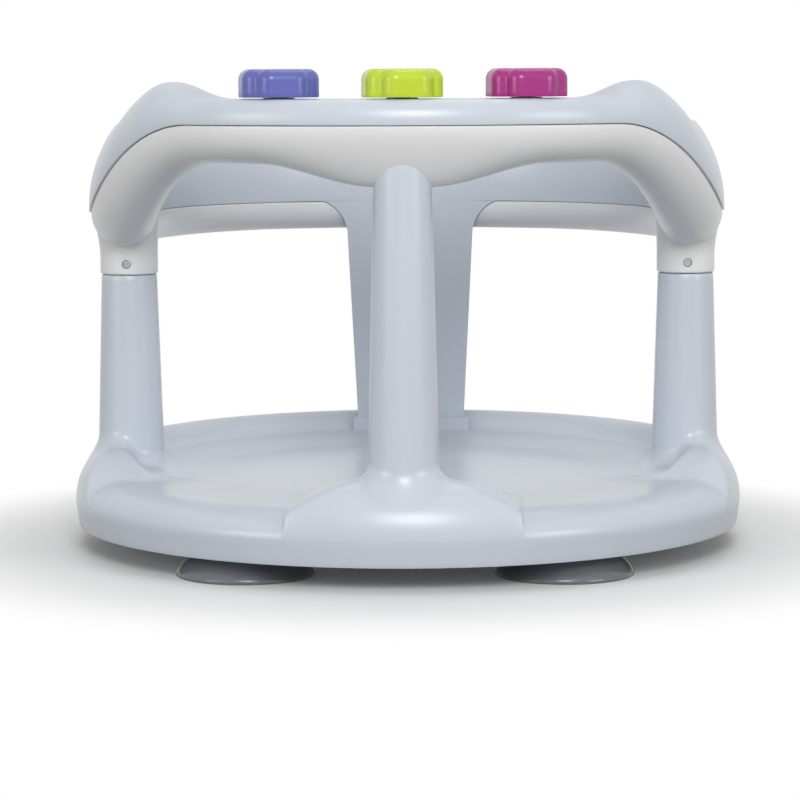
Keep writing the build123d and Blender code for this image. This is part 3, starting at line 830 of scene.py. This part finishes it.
        spread = self.post_foot + self.fillet
        strands = []
        for turn in full_turn(self.columns):
            out = np.array([math.cos(turn), math.sin(turn)])
            high = ground(self.post_foot) + self.fillet
            inner = flank(high)
            strand = []
            for angle in np.linspace(0, math.pi / 2, 15):
                radius = mix(spread, inner, math.sin(angle))
                rise = self.fillet * (1 - math.cos(angle)) - self.tuck * math.cos(angle)
                strand.append((radius, ground(radius) + rise))
            strand[-1] = (inner, high)
            for i in range(1, 31):
                height = mix(high, end - self.post_edge, i / 30)
                strand.append((flank(height), height))
            strand += [(flank(end) - 0.25, end - 0.2), (flank(end) - self.post_edge, end), (0, end)]
            strands.append([(centre[0] + out[0] * r, centre[1] + out[1] * r, z) for r, z in strand])
        rows = [[strand[i] for strand in strands] for i in range(len(strands[0]))]
        base = [(centre[0], centre[1], self.seat - 1)] * self.columns
        low = [(x, y, z - 2) for x, y, z in rows[0]]
        skin = Skin()
        skin.grid([base, low] + rows, closed=True)
        return settle(skin.place("post"))

    def rib(self, path: list[tuple[float, float]], closed: bool) -> Skin:
        """An upright rib below the top, along a path.

        Args:
            path: Places that the rib goes through.
            closed: Whether it ends where it starts.

        Returns:
            The rib, from its lower edge up into the wall above it.
        """
        rows = []
        count = len(path)
        for i, (x, y) in enumerate(path):
            before = path[i - 1] if i or closed else path[i]
            after = path[(i + 1) % count] if i < count - 1 or closed else path[i]
            along = np.array(after) - np.array(before)
            side = np.array([-along[1], along[0]]) / np.hypot(*along) * self.rib_width / 2
            high = self.height_at(x, y) - self.wall / 2
            rows.append([(x - side[0], y - side[1], self.rib_foot), (x - side[0], y - side[1], high),
                         (x + side[0], y + side[1], high), (x + side[0], y + side[1], self.rib_foot)])
        skin = Skin()
        skin.grid(rows + rows[:1] if closed else rows, closed=True)
        if not closed:
            for row in (rows[0], rows[-1]):
                skin.grid([row[:2], row[3:1:-1]])
        return skin

    def ribs(self) -> list[bpy.types.Object]:
        """Two round ribs, and two straight ones that cross between the cups."""
        ring = math.hypot(*self.cup_place)
        made = []
        for radius in (ring, ring / 2):
            path = [(radius * math.cos(a), radius * math.sin(a)) for a in full_turn(self.rib_steps)]
            made.append(self.rib(path, True))
        for side in (-1, 1):
            x, y = side * self.cup_place[0], self.cup_place[1]
            made.append(self.rib([(x * s, y * s) for s in np.linspace(-1, 1, 60)], False))
        return [settle(skin.place("rib")) for skin in made]

    def cup_bosses(self) -> bpy.types.Object:
        """The four bosses that hold the cups' heads."""
        skin = Skin()
        outer, head, neck = self.boss_radii
        foot, floor = self.boss_foot, self.boss_foot + self.boss_floor
        for side in (-1, 1):
            for end in (-1, 1):
                place = (side * self.cup_place[0], end * self.cup_place[1])
                ring = math.hypot(*place)
                near = [p * (ring - outer) / ring for p in place]
                high = min(self.height_at(*place), self.height_at(*near)) - self.wall / 2
                ceiling = high - self.boss_ceiling
                skin.lathe([(neck, foot), (outer, foot), (outer, high), (0, high), (0, ceiling),
                            (head, ceiling), (head, floor), (neck, floor), (neck, foot)], place, 48)
        return settle(skin.place("cup_bosses"))

    def leg_socket(self, leg: LegOutline) -> bpy.types.Object:
        """The socket under the rim that takes the back leg's foot."""
        gap = self.socket_gap
        low = leg.foot_z - gap - self.wall
        half = leg.foot_width / 2 + gap + self.wall
        front, back = leg.face - gap - self.wall, leg.back + gap + self.wall
        xs = np.linspace(-half, half, 17)
        loop = [(x, math.sqrt(front * front - x * x)) for x in xs]
        loop += [(x, math.sqrt(back * back - x * x)) for x in xs[::-1]]
        middle = (0.0, (leg.face + leg.back) / 2)
        skin = Skin()
        skin.grid([[(*middle, low)] * len(loop), [(x, y, low) for x, y in loop],
                   [(x, y, self.rim - self.wall) for x, y in loop],
                   [(*middle, self.rim - self.wall)] * len(loop)], closed=True)
        return settle(skin.place("leg_socket"))

    def build(self, leg: LegOutline) -> bpy.types.Object:
        """Build the base with its posts, and what stands below it.

        Args:
            leg: The back leg, which has its socket in the base.

        Returns:
            The whole moulding.
        """
        posts = [self.post((-self.post_ring, 0), self.post_top, self.post_end),
                 self.post((self.post_ring, 0), self.post_top, self.post_end),
                 self.post((0, -self.post_ring), self.front_top, self.front_end)]
        parts = [self.top(), *posts, *self.ribs(), self.cup_bosses(), self.leg_socket(leg)]
        return settle(join("base_moulding", parts), 40)


# Toys

@dataclass
class ToyKnob:
    """A four-lobed knob that spins on the tray."""

    span: float = 36.6
    lobe: float = 24.4
    corner: float = 7.0
    height: float = 13.2
    edge: float = 5.0
    wall: float = 2.2
    turn: float = 12.0
    groove: float = 1.6
    shaft: float = 4.0
    columns: int = 288
    lip: float = 0.5
    shaft_drop: float = 3.7
    shaft_rise: float = 8.0
    halvings: int = 40

    def distance(self, x: np.ndarray, y: np.ndarray, inset: float) -> np.ndarray:
        """Signed distance from the knob's outline, negative inside it."""
        best = None
        for extra in (0, 90):
            angle = math.radians(self.turn + extra)
            u = np.abs(x * math.cos(angle) + y * math.sin(angle)) - self.span / 2 + self.corner
            v = np.abs(-x * math.sin(angle) + y * math.cos(angle)) - self.lobe / 2 + self.corner
            outside = np.hypot(np.clip(u, 0, None), np.clip(v, 0, None))
            one = outside + np.minimum(np.maximum(u, v), 0) - self.corner + inset
            best = one if best is None else soft_min(best, one, self.groove)
        return best

    def outline(self, inset: float) -> np.ndarray:
        """Radius of the knob's outline at each column, inset by a distance."""
        turns = full_turn(self.columns)
        low, high = np.zeros(self.columns), np.full(self.columns, self.span)
        for _ in range(self.halvings):
            middle = (low + high) / 2
            inside = self.distance(middle * np.cos(turns), middle * np.sin(turns), inset) < 0
            low, high = np.where(inside, middle, low), np.where(inside, high, middle)
        return low

    def build(self, name: str, centre: tuple[float, float], foot: float) -> bpy.types.Object:
        """Build the knob with its hollow underside and its shaft.

        Args:
            name: The piece's name.
            centre: Where its axis stands.
            foot: Height of its lower edge.

        Returns:
            The knob.
        """
        turns = full_turn(self.columns)

        def row(inset: float, height: float, shrink: float = 1.0) -> list[Point]:
            """The outline at a height above the foot, inset by a distance and then shrunk."""
            radii = self.outline(inset) * shrink
            return [(centre[0] + r * math.cos(t), centre[1] + r * math.sin(t), foot + height)
                    for r, t in zip(radii, turns)]

        brow = self.height - self.edge
        lip = self.lip
        rows = [row(self.wall, brow, shrink) for shrink in (0.0, 0.5, 1.0)]
        rows += [row(self.wall, 0.4), row(self.wall - 0.4, 0), row(lip, 0)]
        rows += [row(lip * 0.3, lip * 0.3), row(0, lip)]
        rows += [row(0, mix(lip, brow, i / 4)) for i in range(1, 5)]
        for i in range(1, 11):
            angle = math.pi / 2 * i / 10
            drop = self.edge * (1 - math.sin(angle))
            rows.append(row(self.edge * (1 - math.cos(angle)), self.height - drop))
        rows += [row(self.edge, self.height, shrink) for shrink in (0.9, 0.7, 0.4, 0.0)]
        skin = Skin()
        skin.grid(rows, closed=True)
        low, high = foot - self.shaft_drop, foot + self.shaft_rise
        shaft = Skin()
        shaft.lathe([(0, low), (self.shaft, low), (self.shaft, high), (0, high)], centre, 32)
        knob = skin.place("knob")
        spindle = shaft.place("spindle")
        return settle(join(name, [knob, spindle]))


# Suction cups

@dataclass
class SuctionCups:
    """Four soft cups below the base."""

    radius: float = 34.0
    spacing: tuple[float, float] = (153.6, 222.0)
    height: float = 14.5
    lip: float = 1.4
    lip_width: float = 3.0
    step: float = 2.0
    hollow: float = 7.0
    boss: float = 10.0
    neck: float = 4.3
    head: float = 6.2
    head_z: float = 17.95
    head_height: float = 5.0

    def profile(self) -> list[tuple[float, float]]:
        """Section of one cup, from the middle of its hollow round its lip to its head."""
        shoulder, lip = self.height - self.step, self.radius - self.lip_width
        inside = bezier([(0, self.hollow), (self.radius * 0.5, self.hollow),
                         (self.radius * 0.8, self.lip), (lip, 0)], 16)
        rim = [(self.radius - 0.7, 0.0), (self.radius - 0.15, 0.25), (self.radius, 0.7),
               (self.radius, self.lip)]
        dome = bezier([(self.radius, self.lip), (self.radius * 0.93, self.height / 2),
                       (self.radius * 0.7, shoulder), (self.boss, shoulder)], 20)
        head_top = self.head_z + self.head_height
        top = [(self.boss - self.step, self.height), (self.neck, self.height), (self.neck, self.head_z),
               (self.head, self.head_z), (self.head, mix(self.head_z, head_top, 0.4)),
               (self.neck, head_top), (0, head_top)]
        return inside + rim + dome[1:] + top

    def build(self, material: bpy.types.Material) -> bpy.types.Object:
        """Build one cup and set four of it out with Geometry Nodes."""
        skin = Skin()
        skin.lathe(self.profile(), (0, 0), 96)
        obj = skin.place("suction_cups")
        obj.data.shade_smooth()
        obj.data.set_sharp_from_angle(angle=math.radians(40))
        tree = self.layout_tree(material)
        layout = obj.modifiers.new("layout", "NODES")
        layout.node_group = tree
        sizes = {"Spacing across": self.spacing[0] * MM, "Spacing along": self.spacing[1] * MM}
        for item in tree.interface.items_tree:
            if item.name in sizes:
                layout[item.identifier] = sizes[item.name]
        return settle(obj, 40)

    @staticmethod
    def layout_tree(material: bpy.types.Material) -> bpy.types.NodeTree:
        """A tree that puts a copy of its mesh at each corner of a rectangle."""
        tree = bpy.data.node_groups.new("cup_layout", "GeometryNodeTree")
        for name, way, kind in (("Geometry", "INPUT", "Geometry"), ("Spacing across", "INPUT", "Float"),
                                ("Spacing along", "INPUT", "Float"), ("Geometry", "OUTPUT", "Geometry")):
            tree.interface.new_socket(name, in_out=way, socket_type="NodeSocket" + kind)
        start, end = tree.nodes.new("NodeGroupInput"), tree.nodes.new("NodeGroupOutput")
        corners = tree.nodes.new("GeometryNodeMeshGrid")
        corners.inputs["Vertices X"].default_value = 2
        corners.inputs["Vertices Y"].default_value = 2
        copies = tree.nodes.new("GeometryNodeInstanceOnPoints")
        real = tree.nodes.new("GeometryNodeRealizeInstances")
        paint = tree.nodes.new("GeometryNodeSetMaterial")
        paint.inputs["Material"].default_value = material
        for source, out, target, into in (
                (start, "Spacing across", corners, "Size X"), (start, "Spacing along", corners, "Size Y"),
                (corners, "Mesh", copies, "Points"), (start, "Geometry", copies, "Instance"),
                (copies, "Instances", real, "Geometry"), (real, "Geometry", paint, "Geometry"),
                (paint, "Geometry", end, "Geometry")):
            tree.links.new(source.outputs[out], target.inputs[into])
        return tree


# The studio

@dataclass(frozen=True)
class Lamp:
    """A square soft box."""

    name: str
    place: Point
    target: Point
    size: float
    watts: float

    def build(self) -> None:
        """Hang the lamp and aim it."""
        light = bpy.data.lights.new(self.name, "AREA")
        light.shape = "SQUARE"
        light.size = self.size
        light.energy = self.watts
        obj = bpy.data.objects.new(self.name, light)
        obj.location = self.place
        obj.rotation_euler = (Vector(self.target) - Vector(self.place)).to_track_quat("-Z", "Y").to_euler()
        bpy.context.scene.collection.objects.link(obj)


@dataclass
class Studio:
    """White floor, soft lamps and the photograph's camera."""

    lamps: tuple[Lamp, ...] = (
        Lamp("front_lamp", (0.1, -1.7, 0.95), (0, 0, 0.1), 0.6, 15.0),
        Lamp("top_lamp", (0.1, 0.4, 1.6), (0, 0, 0.1), 0.9, 3.5),
        Lamp("left_lamp", (-1.5, -1.2, 0.55), (0, 0, 0.1), 0.7, 7.5),
        Lamp("right_lamp", (1.5, -1.2, 0.6), (0, 0, 0.1), 0.7, 8.5),
    )
    eye: Point = (0.022, -1.6, 0.2455)
    aim: Point = (-0.0039, 0.0, 0.0725)
    roll: float = -0.25
    lens: float = 140.2
    world_level: float = 0.40
    shadow_reach: tuple[float, float] = (0.19, 0.30)
    floor_shade: float = 0.86
    floor_roughness: float = 0.6
    floor_glow: float = 0.04
    bounce_shade: float = 0.25

    def white_where_seen(self, nodes: bpy.types.Nodes, links: bpy.types.NodeLinks) -> bpy.types.NodeSocket:
        """A value that is 1 on camera, glossy and transmission rays, and 0 on the light's own."""
        path = nodes.new("ShaderNodeLightPath")
        seen = path.outputs["Is Camera Ray"]
        for ray in ("Is Glossy Ray", "Is Transmission Ray"):
            either = nodes.new("ShaderNodeMath")
            either.operation = "MAXIMUM"
            links.new(seen, either.inputs[0])
            links.new(path.outputs[ray], either.inputs[1])
            seen = either.outputs[0]
        return seen

    def world(self) -> None:
        """Light from all round, and a white background."""
        world = bpy.data.worlds.new("studio")
        world.use_nodes = True
        nodes, links = world.node_tree.nodes, world.node_tree.links
        soft = nodes["Background"]
        soft.inputs["Color"].default_value = (1, 1, 1, 1)
        soft.inputs["Strength"].default_value = self.world_level
        white = nodes.new("ShaderNodeBackground")
        white.inputs["Color"].default_value = (1, 1, 1, 1)
        pick = nodes.new("ShaderNodeMixShader")
        links.new(self.white_where_seen(nodes, links), pick.inputs["Fac"])
        links.new(soft.outputs["Background"], pick.inputs[1])
        links.new(white.outputs["Background"], pick.inputs[2])
        links.new(pick.outputs["Shader"], nodes["World Output"].inputs["Surface"])
        bpy.context.scene.world = world

    def floor(self) -> None:
        """A pale floor that keeps the object's shadow near it, and throws little light back up."""
        skin = Skin()
        skin.grid([[(-6000, -6000, 0), (6000, -6000, 0)], [(-6000, 9000, 0), (6000, 9000, 0)]])
        obj = skin.place("floor", Vector((0, 0, 1)))
        mat = bpy.data.materials.new("floor_white")
        mat.use_nodes = True
        nodes, links = mat.node_tree.nodes, mat.node_tree.links
        paper = nodes["Principled BSDF"]
        paper.inputs["Base Color"].default_value = (*[self.floor_shade] * 3, 1)
        paper.inputs["Roughness"].default_value = self.floor_roughness
        paper.inputs["Specular IOR Level"].default_value = 0.1
        glow = nodes.new("ShaderNodeEmission")
        glow.inputs["Strength"].default_value = self.floor_glow
        both = nodes.new("ShaderNodeAddShader")
        pick = nodes.new("ShaderNodeMixShader")
        links.new(paper.outputs["BSDF"], both.inputs[0])
        links.new(glow.outputs["Emission"], both.inputs[1])
        place = nodes.new("ShaderNodeTexCoord")
        reach = nodes.new("ShaderNodeVectorMath")
        reach.operation = "LENGTH"
        fade = nodes.new("ShaderNodeMapRange")
        fade.interpolation_type = "SMOOTHSTEP"
        fade.inputs["From Min"].default_value = self.shadow_reach[0]
        fade.inputs["From Max"].default_value = self.shadow_reach[1]
        sheet = nodes.new("ShaderNodeEmission")
        open_floor = nodes.new("ShaderNodeMixShader")
        links.new(place.outputs["Object"], reach.inputs[0])
        links.new(reach.outputs["Value"], fade.inputs["Value"])
        links.new(fade.outputs["Result"], open_floor.inputs["Fac"])
        links.new(both.outputs["Shader"], open_floor.inputs[1])
        links.new(sheet.outputs["Emission"], open_floor.inputs[2])
        links.new(self.white_where_seen(nodes, links), pick.inputs["Fac"])
        bounce = nodes.new("ShaderNodeBsdfDiffuse")
        bounce.inputs["Color"].default_value = (*[self.bounce_shade] * 3, 1)
        links.new(bounce.outputs["BSDF"], pick.inputs[1])
        links.new(open_floor.outputs["Shader"], pick.inputs[2])
        links.new(pick.outputs["Shader"], nodes["Material Output"].inputs["Surface"])
        obj.data.materials.append(mat)

    def camera(self) -> None:
        """The camera, at the photograph's place and angle."""
        data = bpy.data.cameras.new("camera")
        data.lens = self.lens
        data.sensor_width = 36.0
        data.clip_end = 50.0
        obj = bpy.data.objects.new("camera", data)
        look = (Vector(self.aim) - Vector(self.eye)).to_track_quat("-Z", "Y").to_matrix().to_4x4()
        roll = Matrix.Rotation(math.radians(self.roll), 4, "Z")
        obj.matrix_world = Matrix.Translation(self.eye) @ look @ roll
        bpy.context.scene.collection.objects.link(obj)
        bpy.context.scene.camera = obj

    def build(self) -> None:
        """Set up the whole studio."""
        self.world()
        self.floor()
        for lamp in self.lamps:
            lamp.build()
        self.camera()
        bpy.context.scene.view_settings.view_transform = "Standard"


TOY_RING = 143.0
TOY_FOOT = 229.8
TOYS = {"left": (-24.0, "blue_toy"), "centre": (0.0, "green_toy"), "right": (24.0, "magenta_toy")}


def dress(obj: bpy.types.Object, material: bpy.types.Material, body: str, slot: str, *nodes: str) -> None:
    """Give a piece its finish, put it on its body and let it stand for CAD nodes.

    Args:
        obj: The piece.
        material: Its finish.
        body: The body that it moves with.
        slot: The record's material slot; not used.
        *nodes: The CAD nodes that it replaces.
    """
    obj.data.materials.clear()
    obj.data.materials.append(material)
    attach(obj, body)
    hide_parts(*nodes)
    log.info("%s: %d faces, stands for %s", obj.name, len(obj.data.polygons), ", ".join(nodes))


def main() -> None:
    """Build every piece in order, then the studio."""
    logging.basicConfig(level=logging.INFO, format="%(message)s")
    paints = {finish.name: finish.material() for finish in FINISHES}
    curves, leg = RingCurves(), LegOutline()
    places = {side: round_ring(TOY_RING, angle, 0)[:2] for side, (angle, _) in TOYS.items()}

    dress(SeatBase().build(leg), paints["pale_blue_plastic"], BODY, "pale_blue_plastic", "base")
    dress(LowerShell(curves, leg).build(), paints["white_plastic"], BODY, "white_plastic", "lower_shell")
    dress(UpperShell(curves, leg).build(list(places.values())), paints["pale_blue_plastic"], BODY,
          "pale_blue_plastic", "upper_shell")
    for side, (_, paint) in TOYS.items():
        knob = ToyKnob().build("knob_" + side, places[side], TOY_FOOT)
        dress(knob, paints[paint], "toy_" + side, paint, "toy_" + side)
    cups = SuctionCups().build(paints["cup_rubber"])
    dress(cups, paints["cup_rubber"], BODY, "cup_rubber", "suction_cup_front_left",
          "suction_cup_front_right", "suction_cup_rear_left", "suction_cup_rear_right")
    # Screws and washers take the steel finish whose darker grey is partly painted recess shade.
    for name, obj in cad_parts.items():
        if "screw" in name or "washer" in name:
            obj.data.materials.clear()
            obj.data.materials.append(paints["screw_steel"])
    Studio().build()


if __name__ == "__main__":
    main()
